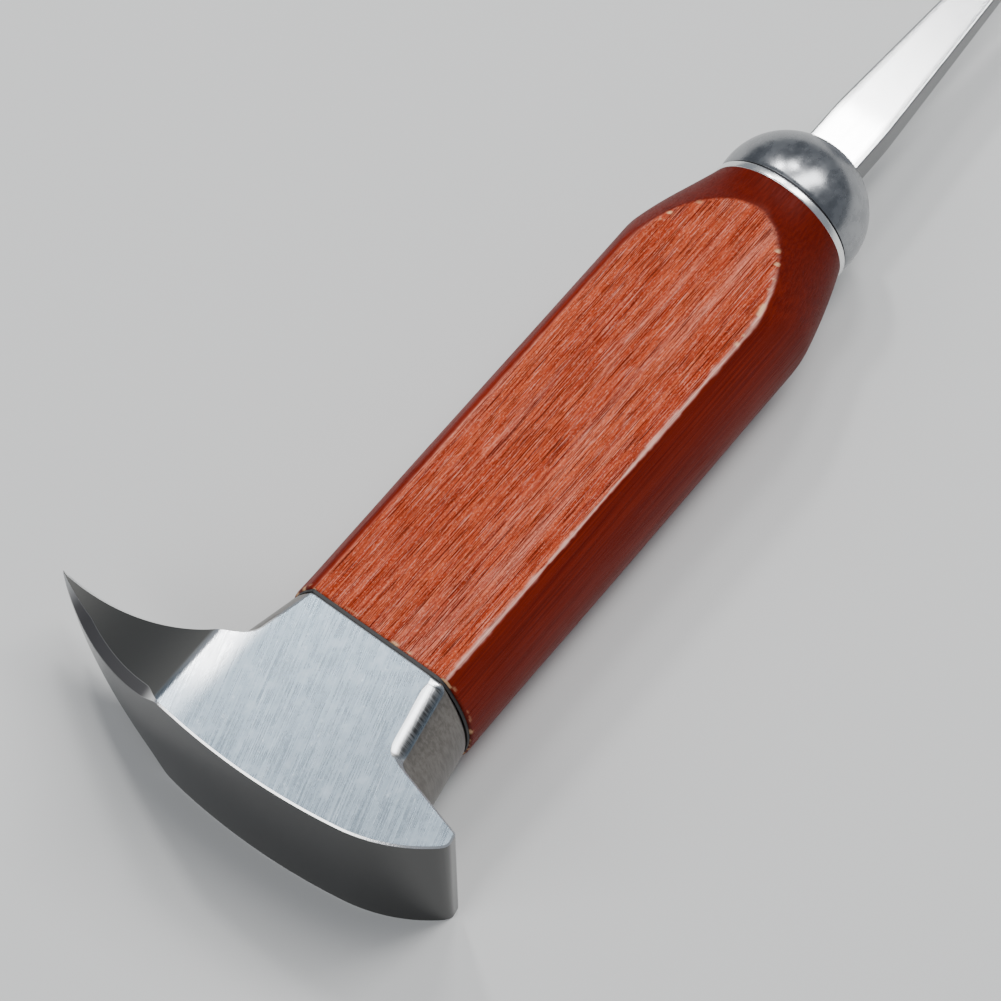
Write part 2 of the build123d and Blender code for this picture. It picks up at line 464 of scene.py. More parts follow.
def woodMaterial(f):
    material, tree, shader = newMaterial("stainedWood", 0.0)
    flat, wear, chip, along = (attribute(tree, k) for k in ("flatTop", "wear", "chip", "along"))
    # grain, from broad bands to short pores, all long in x
    broad = noise(tree, (45, 3.2, 3.2), 3, 0.55, 3.1)
    streak = noise(tree, (26, 0.36, 0.36), 3, 0.62, 1.3)
    fine = noise(tree, (11, 0.15, 0.15), 2, 0.6, 7.7)
    pore = ramp(tree, noise(tree, (7.5, 0.11, 0.11), 1.0, 0.5, 5.2), 0.58, 0.65)
    dash = ramp(tree, noise(tree, (2.6, 0.11, 0.11), 1.0, 0.5, 9.4), 0.60, 0.69)
    pale = noise(tree, (5.0, 0.13, 0.13), 1.0, 0.5, 4.8)
    grit = noise(tree, (0.34, 0.17, 0.17), 1, 0.5, 2.9)
    # stained sides, and darker along the turned shoulder
    side = mixColour(tree, ramp(tree, streak, 0.3, 0.7), *f["sideColours"])
    side = mixColour(tree, ramp(tree, along, 62, 84, 0.0, 0.55), side, f["shoulderColour"])
    # paler sanded flats: each layer says how far it covers the ones before
    top = mixColour(tree, ramp(tree, streak, 0.36, 0.62), *f["topColours"])
    for factor, colour in (
        (ramp(tree, fine, 0.50, 0.68, 0.0, 0.45), f["fineColour"]),
        (ramp(tree, broad, 0.34, 0.68, 0.5, 0.0), f["broadColours"][0]),
        (ramp(tree, broad, 0.50, 0.70, 0.0, 0.38), f["broadColours"][1]),
        (ramp(tree, pale, 0.58, 0.72, 0.0, 0.38), f["paleColour"]),
        (ramp(tree, grit, 0.52, 0.72, 0.0, 0.42), f["gritColours"][0]),
        (ramp(tree, grit, 0.30, 0.44, 0.34, 0.0), f["gritColours"][1]),
    ):
        top = mixColour(tree, factor, top, colour)
    wood = mixColour(tree, flat, side, top)
    pores = maths(tree, "MULTIPLY", pore, 0.85)
    depth = maths(tree, "MAXIMUM", pores, maths(tree, "MULTIPLY", dash, 0.55))
    depth = maths(tree, "MULTIPLY", depth, ramp(tree, flat, 0, 1, 0.25, 1.0))
    worn = maths(tree, "MULTIPLY", wear, ramp(tree, fine, 0.35, 0.6, 0.5, 1.0))
    for factor, colour in (
        (depth, f["poreColour"]),
        (worn, f["wornColour"]),
        (maths(tree, "MULTIPLY", chip, 0.9), f["chipColour"]),
        # painted shade on the wood at its joint with the head
        (ramp(tree, along, 0.0, 0.6, 0.30, 0.0), f["jointShadeColour"]),
    ):
        wood = mixColour(tree, factor, wood, colour)
    tree.links.new(wood, shader.inputs["Base Color"])
    dull = maths(tree, "MULTIPLY", maths(tree, "ADD", pore, chip), 0.2)
    rough = maths(tree, "ADD", ramp(tree, flat, 0.0, 1.0, *f["roughness"]), dull)
    tree.links.new(rough, shader.inputs["Roughness"])
    shader.inputs["Specular IOR Level"].default_value = f["specular"]
    pits = maths(tree, "MULTIPLY", depth, 0.9)
    relief = maths(tree, "SUBTRACT", maths(tree, "MULTIPLY", streak, 0.5), pits)
    bump(tree, shader, relief, f["reliefDepth"], 1.0)
    return material


grip = makePiece("turnedGrip", *makeGrip(gripFacts))
dress(grip, woodMaterial(gripFacts), "handle")
print("grip made")


# the ferrule: a domed cap with a rim and a groove

ferruleFacts = {
    "rim": 11.4, "rimWidth": 1.1, "rimEase": 0.22,
    "groove": 0.35, "grooveDepth": 0.4,
    "dome": 11.2, "nose": 5.5,               # radii where the dome starts and ends
    "bulge": (9.6, 9.5),                     # a point on the dome, from the rim and from the axis
    "lip": (0.08, -0.06),                    # how far the dome's first point is eased
    "seat": 9.4, "seatLength": 6.0,
    "slot": (4.4, 2.6), "slotSoft": 0.05,    # half width and half height of the slot for the pick
    "cols": 192, "domeRows": 46,
    "colours": ((0.24, 0.247, 0.258), (0.34, 0.347, 0.358)),
    # the rim's colour is a painted highlight, the groove's a painted shade
    "rimHighlightColour": (0.88, 0.88, 0.87), "grooveShadeColour": (0.05, 0.05, 0.055),
    "roughness": (0.22, 0.31), "grooveRoughness": 0.3,
    "reliefDepth": 0.02,
}


def roundedLine(corners, radius, steps=5):
    # a line through the corners, each inner corner eased by a quadratic curve from a to b
    out = [np.array(corners[0], float)]
    for before, corner, after in zip(corners[:-2], corners[1:-1], corners[2:]):
        before, corner, after = (np.array(p, float) for p in (before, corner, after))
        back, ahead = np.linalg.norm(before - corner), np.linalg.norm(after - corner)
        cut = min(radius, 0.45 * back, 0.45 * ahead)
        a = corner + (before - corner) / back * cut
        b = corner + (after - corner) / ahead * cut
        t = np.linspace(0, 1, steps)[:, None]
        out.extend((1 - t) ** 2 * a + 2 * t * (1 - t) * corner + t ** 2 * b)
    out.append(np.array(corners[-1], float))
    return np.array(out)


def makeFerrule(f):
    # rim, groove and dome are one profile turned about the axis, and the slot closes it inside
    grooveEnd = f["rimWidth"] + f["groove"]
    deep = f["rim"] - f["grooveDepth"]
    rim = roundedLine([
        (0, f["seat"]), (0, f["rim"]), (f["rimWidth"], f["rim"]), (f["rimWidth"], deep),
        (grooveEnd, deep), (grooveEnd, f["dome"]),
    ], f["rimEase"])
    centre, radius = circleThrough((grooveEnd, f["dome"]), f["bulge"], (ferruleLength, f["nose"]))
    start = math.atan2(f["dome"] - centre[1], grooveEnd - centre[0])
    end = math.atan2(f["nose"] - centre[1], ferruleLength - centre[0])
    arc = np.linspace(start, end, f["domeRows"])
    dome = centre + radius * np.stack([np.cos(arc), np.sin(arc)], 1)
    dome[0] += f["lip"]
    outer = np.concatenate([rim[:-1], dome])
    theta = np.arange(f["cols"]) / f["cols"] * 2 * np.pi
    # the slot is a rectangle met by the same angles
    cosine, sine = np.cos(theta), np.sin(theta)
    w, h = (side / np.maximum(np.abs(s), 1e-6) for side, s in zip(f["slot"], (cosine, sine)))
    reach = softMin(w, h, f["slotSoft"])
    slot = [np.stack([x + 0 * theta, reach * cosine, reach * sine], -1)
            for x in (ferruleLength, f["seatLength"])]
    points = np.concatenate([
        turnedRows(outer, theta), slot, turnedRows([(f["seatLength"], f["seat"])], theta)])
    points[..., 0] += gripLength
    rows, cols = points.shape[:2]
    along, out = outer.T
    inGroove = (along > f["rimWidth"] - 0.02) & (along < grooveEnd + 0.02) & (out < f["dome"] - 0.02)
    onRim = (along <= f["rimWidth"] + 0.01) & (out > deep + 0.1)
    # one value for each turn of the profile, none for the three inside
    attributes = {key: np.repeat(np.append(mask.astype(float), [0, 0, 0]), cols)
                  for key, mask in (("groove", inGroove), ("rim", onRim))}
    return points.reshape(-1, 3), [gridFaces(rows, cols, closeRows=True, closeCols=True)], attributes


def ferruleMaterial(f):
    material, tree, shader = newMaterial("satinFerrule", 1.0)
    cloud = noise(tree, (3.0, 2.5, 2.5), 3, 0.6, 2.2)
    rings = noise(tree, (0.12, 9, 9), 1, 0.5, 4.1)
    dents = noise(tree, (1.6, 1.6, 1.6), 2)
    groove, rim = attribute(tree, "groove"), attribute(tree, "rim")
    colour = mixColour(tree, ramp(tree, cloud, 0.3, 0.7), *f["colours"])
    # the rim painted bright, a painted highlight
    colour = mixColour(tree, rim, colour, f["rimHighlightColour"])
    # the groove painted near black, a painted shade
    colour = mixColour(tree, groove, colour, f["grooveShadeColour"])
    tree.links.new(colour, shader.inputs["Base Color"])
    dull = maths(tree, "MULTIPLY", groove, f["grooveRoughness"])
    rough = maths(tree, "ADD", ramp(tree, cloud, 0.3, 0.7, *f["roughness"]), dull)
    tree.links.new(rough, shader.inputs["Roughness"])
    turning = maths(tree, "MULTIPLY", rings, 0.35)
    height = maths(tree, "ADD", turning, maths(tree, "MULTIPLY", dents, 0.65))
    bump(tree, shader, height, f["reliefDepth"], 0.3)
    return material


ferrule = makePiece("domedFerrule", *makeFerrule(ferruleFacts))
dress(ferrule, ferruleMaterial(ferruleFacts), "ferrule")
print("ferrule made")


# the pick, and the round tang behind it

pickFacts = {
    "start": 6.0, "straight": 19.5, "bevel": 3.5,      # from the end of the wood, and at the tip
    "half": (4.4, 2.6), "tipHalf": (1.75, 1.2),        # half width and half thickness
    "edgeHalf": 0.35, "edgeEase": 0.12,
    "corner": 0.35,
    "softStart": 0.06,                                 # part of the taper that eases into it
    "tang": 4.0,
    "tangRows": (-103.3, -60.0, -20.0, 6.0),           # along the round tang
    "rows": (12, 50, 9), "cornerPoints": 7, "flatPoints": 8,
    # the sides are painted darker than the top, a painted shade
    "colours": ((0.92, 0.922, 0.925), (0.95, 0.95, 0.95)), "sideShadeColour": (0.16, 0.162, 0.165),
    "roughness": (0.17, 0.22),
    "reliefDepth": 0.006,
}


def makePick(f):
    # sections along x, each a rectangle with rounded corners: straight, then an even taper,
    # then a bevel whose thickness falls to the edge
    taperEnd = pickLength - f["bevel"]
    ends = [f["start"], f["straight"], taperEnd, pickLength]
    stretches = [np.linspace(*stretch)[1:] for stretch in zip(ends, ends[1:], f["rows"])]
    x = np.concatenate([[f["start"]]] + stretches)[:, None]
    t = np.clip((x - f["straight"]) / (taperEnd - f["straight"]), 0, 1)
    soft = f["softStart"]
    taper = np.where(t < soft, t * t / (2 * soft), t - soft / 2) / (1 - soft / 2)
    w, h = (start + (end - start) * taper for start, end in zip(f["half"], f["tipHalf"]))
    b = np.clip((x - taperEnd) / f["bevel"], 0, 1)
    h = h * (1 - b) + f["edgeHalf"] * b
    w = w - f["edgeEase"] * b ** 3
    corner = np.minimum(f["corner"], h * 0.5)
    quarter = np.linspace(0, math.pi / 2, f["cornerPoints"])
    # the four corners, anticlockwise seen from the tip
    corners = []
    for number, (sy, sz) in enumerate(((1, 1), (-1, 1), (-1, -1), (1, -1))):
        a = quarter + number * math.pi / 2
        corners.append(np.stack([sy * (w - corner) + corner * np.cos(a),
                                 sz * (h - corner) + corner * np.sin(a)], -1))
    # a few points along each flat too, so that long faces stay even
    between = np.linspace(0, 1, f["flatPoints"])[None, 1:-1, None]
    ring = []
    for here, following in zip(corners, corners[1:] + corners[:1]):
        ring += [here, here[:, -1:] * (1 - between) + following[:, :1] * between]
    ring = np.concatenate(ring, 1)
    blade = np.concatenate([x[..., None] + 0 * ring[..., :1], ring], -1)
    # the round tang uses the same angles as the first section
    angle = np.arctan2(ring[0, :, 1], ring[0, :, 0])
    tang = turnedRows([(tangX, f["tang"]) for tangX in f["tangRows"]], angle)
    # how far each point lies round onto a side, where the painted shade goes
    beside = np.clip((np.abs(ring[..., 0]) - (w - corner)) / corner, 0, 1)
    beside = np.concatenate([np.zeros(tang.shape[:2]), beside])
    points = np.concatenate([tang, blade])
    points[..., 0] += gripLength
    rows, cols = points.shape[:2]
    flat = points.reshape(-1, 3)
    # a fan closes each end
    centres = np.array([flat[:cols].mean(0), flat[-cols:].mean(0)])
    around = np.arange(cols)
    following = (around + 1) % cols
    tangFan = np.stack([np.full(cols, rows * cols), following, around], 1)
    last = (rows - 1) * cols
    edgeFan = np.stack([np.full(cols, rows * cols + 1), last + around, last + following], 1)
    faces = [gridFaces(rows, cols, closeCols=True), tangFan, edgeFan]
    return np.concatenate([flat, centres]), faces, {"side": np.append(beside.ravel(), [0, 0])}


def pickMaterial(f):
    material, tree, shader = newMaterial("groundPick", 1.0)
    lines = noise(tree, (22, 0.10, 0.10), 2, 0.6, 3.3)
    cloud = noise(tree, (9, 4, 4), 3, 0.6, 6.4)
    colour = mixColour(tree, ramp(tree, cloud, 0.3, 0.7), *f["colours"])
    # painted shade on the pick's sides
    colour = mixColour(tree, attribute(tree, "side"), colour, f["sideShadeColour"])
    tree.links.new(colour, shader.inputs["Base Color"])
    tree.links.new(ramp(tree, lines, 0.25, 0.75, *f["roughness"]), shader.inputs["Roughness"])
    bump(tree, shader, lines, f["reliefDepth"], 0.7)
    return material


pick = makePiece("taperedPick", *makePick(pickFacts))
dress(pick, pickMaterial(pickFacts), "pick")
print("pick made")


# the head: a crescent of claw and scraper wing, with a neck

headFacts = {
    # neck: its ends, half widths of its flats and over its sides, and its shift towards the claw
    "neckRear": -0.45, "neckFront": -12.0, "neckShift": 0.3,
    "rearFlat": 10.8, "rearSide": 15.0, "frontSide": 17.4, "rearCorner": 0.9,
    # crescent, in plan
    "clawTip": (-14.4, 43.6), "clawOuterMiddle": (-21.1, 32.2), "frontLeft": (-25.3, 17.2),
    "frontMiddle": (-26.3, 4.0), "frontRight": (-24.9, -13.0),
    "scraperFront": (-18.2, -26.1), "scraperBack": (-16.1, -25.7), "notch": (-12.3, -11.8),
    "clawRoot": (-9.3, 12.6), "clawRootEnd": (-12.6, 19.4), "clawInnerMiddle": (-14.9, 33.5),
    # how far each corner's easing reaches
    "rootEase": (1.3, 1.6), "notchEase": (1.4, 1.3), "tipEase": (0.5, 0.7),
    "scraperEase": (0.9, 0.7), "heelEase": 0.4,
    # thickness: a roll down to the crease, then the hollow grind
    "crease": 17.2, "creaseSoft": 0.35, "rollStart": 12.0, "rollDrop": 0.35,
    "hollowRadius": 46.0, "hollowAngle": 40.0,
    # edges, how far in and how far down: small chamfers, a bevel along the claw, and the neck's
    # well rounded ridge on the wing's side
    "edgeWidth": 0.29, "edgeDrop": 0.21, "rearEase": 0.12,
    "bevelWidth": 1.2, "bevelDrop": 0.85, "bevelFrom": (16.5, 20.5), "bevelFade": (38.0, 43.2),
    "ridgeWidth": 2.4, "ridgeDrop": 1.3, "ridgeRound": 0.95,
    # points on each part of the outline, even ones on tip and edge
    "counts": {"neckLeft": 16, "clawRoot": 10, "claw": 90, "tip": 6, "scraper": 8, "edge": 4,
               "heel": 5, "wing": 26, "notch": 10, "neckRight": 16, "cornerRight": 6, "rear": 34,
               "cornerLeft": 6},
    "capColumns": 30,
    # finish
    "brushTurn": 17.4,                                # degrees, the brushed lines from the tool
    "flatColours": ((0.205, 0.260, 0.308), (0.262, 0.322, 0.375)),
    "scratchColour": (0.52, 0.59, 0.65), "smudgeColour": (0.46, 0.52, 0.57),
    # the last colour on the next line is the painted highlight just before the crease
    "speckColour": (0.62, 0.68, 0.73), "creaseHighlightColour": (0.90, 0.92, 0.94),
    # painted shade: the top of the head darker toward the wing
    "wingShadeColour": (0.15, 0.175, 0.20),
    # painted dark reflection in the hollow, darker toward the claw's tip
    "hollowReflectionColours": ((0.125, 0.124, 0.118), (0.060, 0.060, 0.058)),
    # the second colour on the next line is a painted dark reflection on the front wall
    "bevelColour": (0.105, 0.102, 0.106), "frontWallReflection": (0.055, 0.0545, 0.053),
    "backWallColours": ((0.125, 0.115, 0.105), (0.18, 0.168, 0.155)),
    # painted highlight along the small chamfered edges
    "edgeGlintColour": (0.93, 0.93, 0.92),
    # painted shade with grinding streaks below the neck's ridge, then a painted highlight along it
    "streakShadeColours": ((0.10, 0.098, 0.094), (0.34, 0.34, 0.335)), "ridgeHighlightColour": (0.74, 0.76, 0.78),
    "roughness": {"hollow": 0.42, "backWall": 0.36, "frontWall": 0.16, "edge": 0.24, "bevel": 0.40,
                  "ridge": 0.36},
    "reliefDepth": 0.02,
}


def ease(a, corner, b, count):
    # rounds a corner with a quadratic curve from a to b, its end left out
    t = (np.arange(count) / count)[:, None]
    return (1 - t) ** 2 * np.array(a) + 2 * t * (1 - t) * np.array(corner) + t ** 2 * np.array(b)


def run(start, end, count):
    # even steps from one number or point to another, the end left out
    if np.ndim(start):
        return start + (np.arange(count) / count)[:, None] * (end - start)
    return start + (end - start) * np.arange(count) / count


def halfHeight(f, y):
    # half the thickness: flat, rolling down with the square of the way to the crease, then the
    # circle of the hollow grind
    hollowY = f["crease"] + f["hollowRadius"] * math.sin(math.radians(f["hollowAngle"]))
    hollowZ = halfFlat + f["hollowRadius"] * math.cos(math.radians(f["hollowAngle"]))
    reach = f["crease"] - f["rollStart"]
    roll = f["rollDrop"] * (np.clip(y - f["rollStart"], 0, reach + 1) / reach) ** 2
    inHollow = np.minimum(y, hollowY) - hollowY
    hollow = hollowZ - np.sqrt(np.maximum(f["hollowRadius"] ** 2 - inHollow ** 2, 0))
    hollow = np.where(y < f["crease"] - 6, halfFlat + 5, hollow)     # out of the way on the flat
    return softMin(halfFlat - roll, hollow - np.minimum(roll, f["rollDrop"]), f["creaseSoft"])


def makeHead(f):
    # a closed outline in plan, carried up a wall and over both edges, with a cap above and below
    outerClaw = circleThrough(f["clawTip"], f["clawOuterMiddle"], f["frontLeft"])
    front = circleThrough(f["frontLeft"], f["frontMiddle"], f["frontRight"])
    spoke = np.array(f["frontRight"]) - front[0]
    scraper = circleTangent(f["frontRight"], (-spoke[1], spoke[0]), f["scraperFront"])
    innerClaw = circleThrough(f["clawRootEnd"], f["clawInnerMiddle"], f["clawTip"])
    spoke = np.array(f["clawRootEnd"]) - innerClaw[0]
    root = circleTangent(f["clawRootEnd"], (-spoke[1], spoke[0]), f["clawRoot"])
    bow = sideArc(f["rearFlat"], f["rearSide"])[1]
    tip, scrape, heel, notch = (
        np.array(f[key]) for key in ("clawTip", "scraperFront", "scraperBack", "notch"))
    toHeel = (heel - scrape) / np.linalg.norm(heel - scrape)
    toNotch = (notch - heel) / np.linalg.norm(notch - heel)
    rear, corner, count = f["neckRear"], f["rearCorner"], f["counts"]
    # height where the wall ends, on the claw's side and on the neck's rounded side
    leftEdge, rightEdge = halfFlat - f["edgeDrop"], halfFlat - f["ridgeDrop"]

    def arcX(circle, y):
        # x on the front of a circle at y
        return circle[0][0] - np.sqrt(np.maximum(circle[1] ** 2 - (y - circle[0][1]) ** 2, 0))

    def frontX(y):
        x = np.where(y > f["frontLeft"][1], arcX(outerClaw, y), arcX(front, y))
        return np.where(y < f["frontRight"][1], arcX(scraper, y), x)

    def innerX(y):
        return np.where(y > f["clawRootEnd"][1], arcX(innerClaw, y), arcX(root, y))

    def wingX(y):
        return heel[0] + (notch[0] - heel[0]) * (y - heel[1]) / (notch[1] - heel[1])

    def neckY(x, h, side):
        # the neck's side at height h from the axis: a bowed arc that widens evenly to the front
        t = (x - rear) / (f["neckFront"] - rear)
        half = f["rearSide"] + (f["frontSide"] - f["rearSide"]) * t - bow + np.sqrt(bow ** 2 - h ** 2)
        return f["neckShift"] * t + side * half

    def backParts(q):
        # the outline behind the claw and behind the wing, part by part; q is -1 at the lower
        # edges, 0 halfway up and 1 at the upper edges
        leftH, rightH = q * leftEdge, q * rightEdge

        def leftAt(x):
            return np.stack([x, neckY(x, leftH, 1)], -1)

        def rightAt(x):
            return np.stack([x, neckY(x, rightH, -1)], -1)

        def clawAt(y):
            return np.stack([innerX(y), y], -1)

        # where the neck's sides meet the claw's root and the wing, found in turn from either line
        left, right = -10.0, -11.0
        for _ in range(20):
            left = float(innerX(neckY(left, leftH, 1)))
            right = float(wingX(neckY(right, rightH, -1)))
        clawStart, clawEnd = leftAt(left)[1] + f["rootEase"][1], tip[1] - f["tipEase"][0]
        tipAfter = tip[1] - f["tipEase"][1]
        neckStart, neckEnd = left + f["rootEase"][0], right + f["notchEase"][1]
        wingStart = heel + toNotch * f["heelEase"]
        wingEnd = rightAt(right) - toNotch * f["notchEase"][0]
        low, high = rightAt(rear)[1], leftAt(rear)[1]
        rearY = run(low + corner, high - corner, count["rear"])
        behindClaw = {
            "neckLeft": leftAt(run(rear - corner, neckStart, count["neckLeft"])),
            "clawRoot": ease(leftAt(neckStart), leftAt(left), clawAt(clawStart), count["clawRoot"]),
            "claw": clawAt(run(clawStart, clawEnd, count["claw"])),
            "tip": ease(clawAt(clawEnd), tip, (frontX(tipAfter), tipAfter), count["tip"]),
        }
        behindWing = {
            "wing": run(wingStart, wingEnd, count["wing"]),
            "notch": ease(wingEnd, rightAt(right), rightAt(neckEnd), count["notch"]),
            "neckRight": rightAt(run(neckEnd, rear - corner, count["neckRight"])),
            "cornerRight": ease(
                rightAt(rear - corner), (rear, low), (rear, low + corner), count["cornerRight"]),
            "rear": np.stack([rear + 0 * rearY, rearY], 1),
            "cornerLeft": ease(
                (rear, high - corner), (rear, high), leftAt(rear - corner), count["cornerLeft"]),
        }
        return behindClaw, behindWing

    def outline(q):
        # the whole closed outline, anticlockwise seen from above
        behindClaw, behindWing = backParts(q)
        before, after = f["scraperEase"]
        start, end = scrape + toHeel * after, heel - toHeel * f["heelEase"]
        frontEnd = scrape[1] + before
        return behindClaw | {
            "front": np.stack([frontX(frontY), frontY], 1),
            "scraper": ease((frontX(frontEnd), frontEnd), scrape, start, count["scraper"]),
            "edge": run(start, end, count["edge"]),
            "heel": ease(end, heel, heel + toNotch * f["heelEase"], count["heel"]),
        } | behindWing

    # each point at the back has a partner at the front: they share y on claw and wing, and from
    # just before the claw's root to the wing they go by the distance travelled
    behindClaw, behindWing = (list(parts.values()) for parts in backParts(1))
    back = np.concatenate([np.concatenate(behindClaw[:-1])[::-1], np.concatenate(behindWing)[::-1]])
    lastOnClaw, firstOnWing = len(behindClaw[2]) - 4, len(back) - len(behindWing[0])
    steps = np.linalg.norm(np.diff(back, axis=0), axis=1)
    travel = np.concatenate([[0], np.cumsum(steps)])
    pace = back[:, 1].copy()
    ends = [lastOnClaw, firstOnWing]
    pace[lastOnClaw:firstOnWing] = np.interp(travel[lastOnClaw:firstOnWing], travel[ends], pace[ends])
    # as many points before the cap's two ends as behind them
    frontCount = sum(map(len, behindClaw + behindWing)) + count["heel"] - count["scraper"] - count["tip"]
    pace = np.interp(np.linspace(0, len(pace) - 1, frontCount), np.arange(len(pace)), pace)
    highY, lowY = tip[1] - f["tipEase"][1], scrape[1] + f["scraperEase"][0]
    frontY = highY + (pace - pace[0]) / (pace[-1] - pace[0]) * (lowY - highY)

    parts = outline(1)
    top = np.concatenate(list(parts.values()))
    y = top[:, 1]
    n = len(top)
    lengths = [len(part) for part in parts.values()]
    segment = np.repeat(list(parts), lengths)
    # how much of the bevel, and of the rounded ridge, each point of the outline has; the ridge
    # runs out across the rear corner
    bevel = smoothStep(*f["bevelFrom"], y) * np.isin(segment, ("front", "tip"))
    bevel *= 0.2 + 0.8 * (1 - smoothStep(*f["bevelFade"], y))
    ridge = (segment == "neckRight").astype(float)
    ridge[segment == "notch"] = 0.5 * smoothStep(0.2, 1, run(0, 1, count["notch"]))
    ridge[segment == "cornerRight"] = np.linspace(1, 0.35, count["cornerRight"])
    fromCorner = y - neckY(rear, rightEdge, -1)
    ridge = np.where(segment == "rear", 0.3 * (1 - smoothStep(0.9, 2.0, fromCorner)), ridge)
    width = f["edgeWidth"] + f["bevelWidth"] * bevel + (f["ridgeWidth"] - f["edgeWidth"]) * ridge
    drop = f["edgeDrop"] + f["bevelDrop"] * bevel + (f["ridgeDrop"] - f["edgeDrop"]) * ridge
    behind = np.isin(segment, ("rear", "cornerLeft"))
    width, drop = width - f["rearEase"] * behind, drop - f["rearEase"] * 0.7 * behind
    for _ in range(4):
        width, drop, ridge = (
            (np.roll(a, 1) + 2 * a + np.roll(a, -1)) / 4 for a in (width, drop, ridge))
    # no inset wider than a third of the claw, which runs out to a point
    narrow = np.isin(segment, ("claw", "tip", "front")) & (y > 30)
    room = np.where(narrow, (innerX(y) - frontX(y)) / 3, 5)
    width = np.minimum(width, np.maximum(room, 0.03))
    drop = np.minimum(drop, np.maximum(room, 0.1))
    along = np.roll(top, -1, 0) - np.roll(top, 1, 0)
    along /= np.linalg.norm(along, axis=1)[:, None]
    inside = np.stack([-along[:, 1], along[:, 0]], 1)
    nearNeck = np.isin(segment, ("neckLeft", "neckRight", "cornerRight", "rear", "cornerLeft"))

    def edgeRow(s, sign):
        # from the wall (s = 0) to the flat (s = 1): a straight chamfer, or a quadratic round
        # where the ridge needs one
        roundIn = 2 * s * (1 - s) * f["ridgeRound"]
        inward = (1 - ridge) * width * s + ridge * (roundIn + s * s * width)
        down = drop * ((1 - ridge) * (1 - s) + ridge * (1 - s) ** 2)
        xy = top + inside * inward[:, None]
        # at the rear corners the neck's and the rear's insets meet without folding over
        near = smoothStep(-8, -4, xy[:, 0]) * nearNeck
        soft = 0.02 + 0.5 * s * near
        edgeX = softMin(xy[:, 0], rear - (f["edgeWidth"] - f["rearEase"]) * s, soft)
        edgeY = softMin(xy[:, 1], neckY(edgeX, leftEdge, 1) - f["edgeWidth"] * s, soft)
        ridgeIn = roundIn + s * s * f["ridgeWidth"]
        edgeY = -softMin(-edgeY, -neckY(edgeX, rightEdge, -1) - ridgeIn, soft)
        xy = np.where(near[:, None] > 0, np.column_stack([edgeX, edgeY]), xy)
        return np.column_stack([xy, sign * (halfHeight(f, xy[:, 1]) - down)])

    edgeSteps = np.array([0.0, 0.06, 0.16, 0.3, 0.5, 0.7, 0.85, 0.95, 1.0])
    wallSteps = np.linspace(-1, 1, 19)[1:-1]
    wallTop = halfHeight(f, y) - drop
    walls = [np.concatenate(list(outline(q).values())) for q in wallSteps]
    side = np.array(
        [edgeRow(s, -1) for s in edgeSteps[::-1]]
        + [np.column_stack([wall, q * wallTop]) for wall, q in zip(walls, wallSteps)]
        + [edgeRow(s, 1) for s in edgeSteps])
    rowCount = len(side)

    # masks for the finish: how far each row is from the wall to the flat, and on which part
    howFarIn = np.concatenate([edgeSteps[::-1], 0 * wallSteps, edgeSteps])[:, None]
    onEdge = (howFarIn > 0) & (howFarIn < 1)
    onWall = (howFarIn == 0).astype(float)
    atFront = np.isin(segment, ("tip", "front", "scraper", "edge", "heel")).astype(float)
    masks = {
        "edge": onEdge * (1 - ridge), "ridge": howFarIn * smoothStep(0.3, 0.95, ridge),
        "frontWall": onWall * atFront, "backWall": onWall * (1 - atFront),
        "bevel": onEdge * bevel, "hollow": smoothStep(16.9, 18.0, side[..., 1]),
    }
    masks = {key: [mask.ravel()] for key, mask in masks.items()}

    # caps: straight rules from the back of the outline to its front, between the claw's tip and
    # the middle of the scraper's edge
    starts = dict(zip(parts, np.cumsum([0] + lengths)))
    tipIndex, edgeIndex = (starts[key] + count[key] // 2 for key in ("tip", "edge"))
    fronts = np.arange(tipIndex, edgeIndex + 1)
    backs = (np.arange(edgeIndex, tipIndex + n + 1) % n)[::-1]
    rule = np.linspace(0, 1, f["capColumns"] + 1)[None, 1:-1, None]
    points, faces = [side.reshape(-1, 3)], [gridFaces(rowCount, n, closeCols=True)]
    for sign, row in ((1, rowCount - 1), (-1, 0)):
        loop = side[row]
        grid = loop[backs[1:-1], None, :2] * (1 - rule) + loop[fronts[1:-1], None, :2] * rule
        grid = np.concatenate([grid, sign * halfHeight(f, grid[..., 1:])], -1)
        index = sum(map(len, points)) + np.arange(grid[..., 0].size).reshape(grid.shape[:2])
        index = np.column_stack([row * n + backs[1:-1], index, row * n + fronts[1:-1]])
        quads = np.stack([index[:-1, :-1], index[1:, :-1], index[1:, 1:], index[:-1, 1:]], -1)
        first, last = index[0], index[-1]
        tipFan = np.column_stack([0 * first[1:] + row * n + tipIndex, first[:-1], first[1:]])
        edgeFan = np.column_stack([0 * last[1:] + row * n + edgeIndex, last[1:], last[:-1]])
        points.append(grid.reshape(-1, 3))
        faces += [cap[:, ::sign] for cap in (quads.reshape(-1, 4), tipFan, edgeFan)]
        for key, mask in masks.items():
            mask.append(smoothStep(16.9, 18.0, grid[..., 1]).ravel() * (key == "hollow"))
    return np.concatenate(points), faces, {key: np.concatenate(mask) for key, mask in masks.items()}


